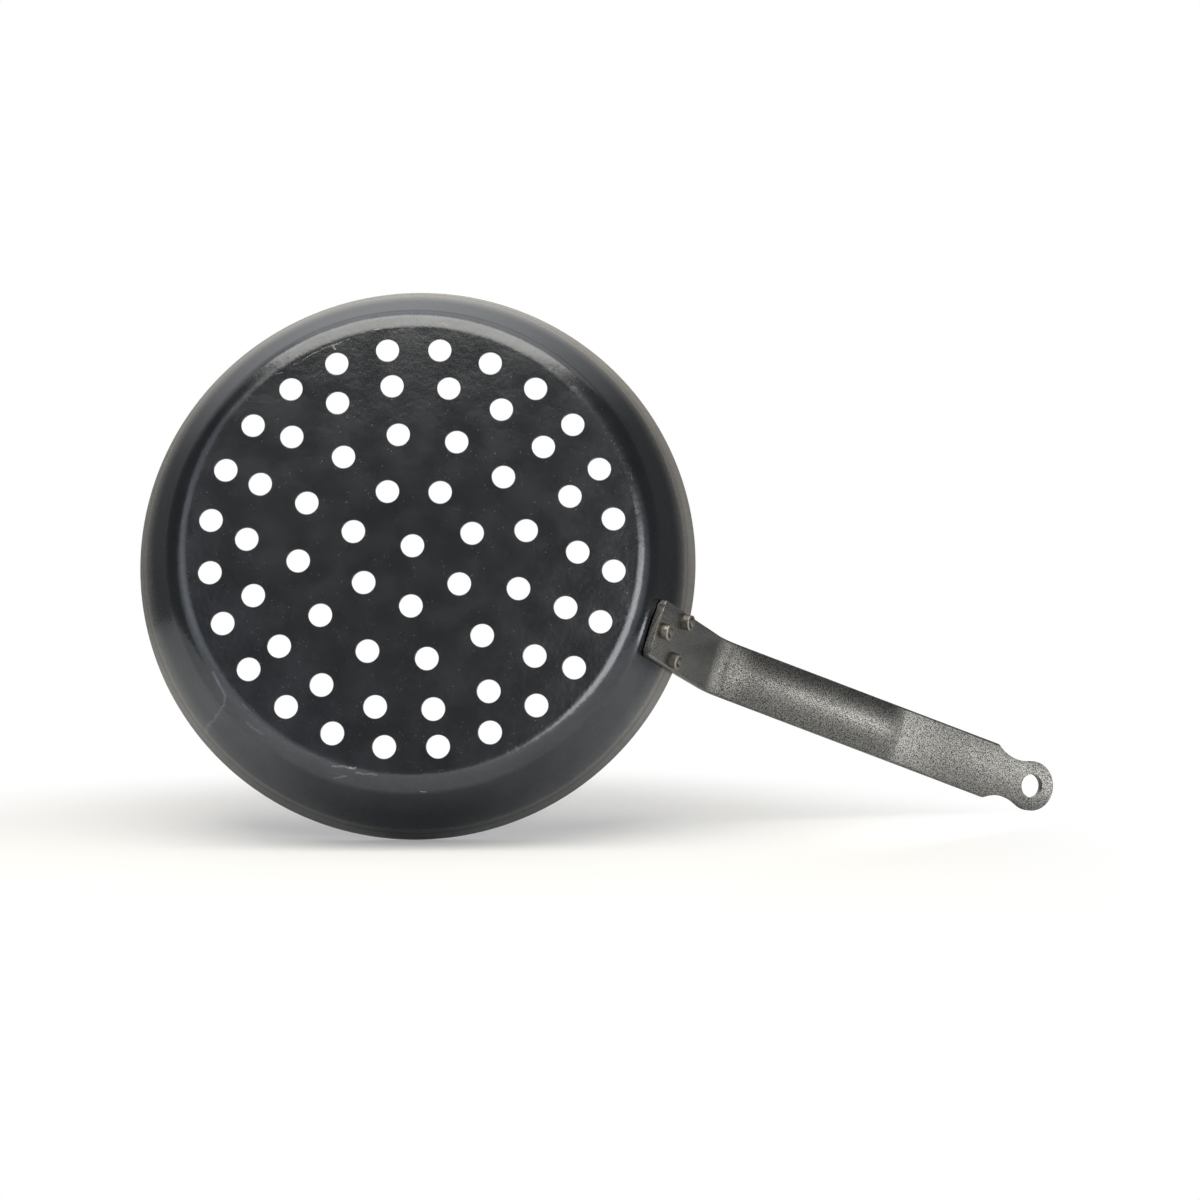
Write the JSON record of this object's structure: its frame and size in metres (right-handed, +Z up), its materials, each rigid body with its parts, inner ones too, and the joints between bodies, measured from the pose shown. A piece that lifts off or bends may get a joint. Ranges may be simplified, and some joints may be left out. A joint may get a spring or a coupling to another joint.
{
  "type": "vegetable pan",
  "caption": "Round flared steel pan with a perforated flat base and a long riveted flat-bar handle that ends in a hanging eye, for searing small food over a fire or grill.",
  "frame": {"origin": "on the plane the base stands on, under the middle of the object's overall length", "axes": "+X along the handle, from the pan's axis towards the hanging eye; +Z up out of the pan's mouth"},
  "size_m": [0.4998, 0.28, 0.1479],
  "materials": {
    "pan_steel": "dark blued sheet steel with fine scratches and a warm grey ground band below the rim",
    "handle_coating": "grey hammertone coating, semi-gloss, on a steel bar",
    "rivet_steel": "plain steel, slightly worn"
  },
  "bodies": {
    "root": {"pan_body": "pan_steel", "handle": "handle_coating", "rivet_lower": "rivet_steel", "rivet_upper_left": "rivet_steel", "rivet_upper_right": "rivet_steel"}
  },
  "joints": []
}
